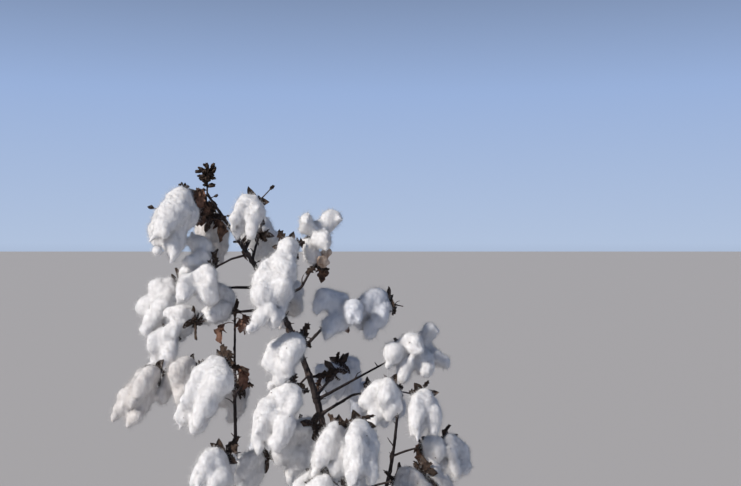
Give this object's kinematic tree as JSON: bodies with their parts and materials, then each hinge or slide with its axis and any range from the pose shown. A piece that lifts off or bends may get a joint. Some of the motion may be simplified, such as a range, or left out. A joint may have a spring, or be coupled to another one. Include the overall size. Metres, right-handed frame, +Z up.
{
  "type": "cotton plant",
  "caption": "Leafless cotton plant at harvest: a leaning dark stem, two side stems and zigzag branches whose open burrs spill long soft locks of white lint.",
  "frame": {"origin": "middle of the flat cut under the main stem, at ground level", "axes": "+Z up, +X to the right and +Y away from the camera of the picture; the stem leans towards -X"},
  "size_m": [0.666, 0.5085, 1],
  "materials": {
    "bark": "dry dark brown bark, finely ridged",
    "lint": "soft matt white fibre",
    "dry_bud": "dry matt brown bracts"
  },
  "bodies": {
    "root": {"main_stem": "bark", "side_stem_left": "bark", "side_stem_right": "bark", "bough_upper_back": "bark", "bough_high_left": "bark", "bough_high_right": "bark", "bough_middle_left": "bark", "bough_middle_back": "bark", "bough_middle_right": "bark", "bough_mid_right": "bark", "bough_mid_back": "bark", "bough_lower_right": "bark", "bough_low_front": "bark", "bough_low_right": "bark", "bough_low_left": "bark", "bough_low_back": "bark", "bough_foot_front": "bark", "bough_foot_right": "bark", "bough_foot_back": "bark", "spray_top_left": "lint", "spray_top_whip": "lint", "spray_upper_left": "lint", "spray_top_right": "lint", "spray_upper_back": "lint", "spray_upper_right": "lint", "spray_high_left": "lint", "spray_high_right": "lint", "spray_middle_left": "lint", "spray_middle_back": "lint", "spray_middle_front": "lint", "spray_middle_right": "lint", "spray_mid_front": "lint", "spray_mid_right": "lint", "spray_mid_back": "lint", "spray_lower_right": "lint", "spray_low_front": "lint", "spray_low_right": "lint", "spray_low_left": "lint", "spray_low_back": "lint", "spray_foot_front": "lint", "spray_foot_right": "lint", "spray_foot_back": "lint", "spray_side_crest": "lint", "spray_side_inner": "lint", "spray_side_outer": "lint", "spray_side_front": "lint", "spray_far_outer": "lint", "spray_far_back": "lint", "spray_far_crest": "lint", "tip_tuft": "dry_bud"}
  },
  "joints": []
}
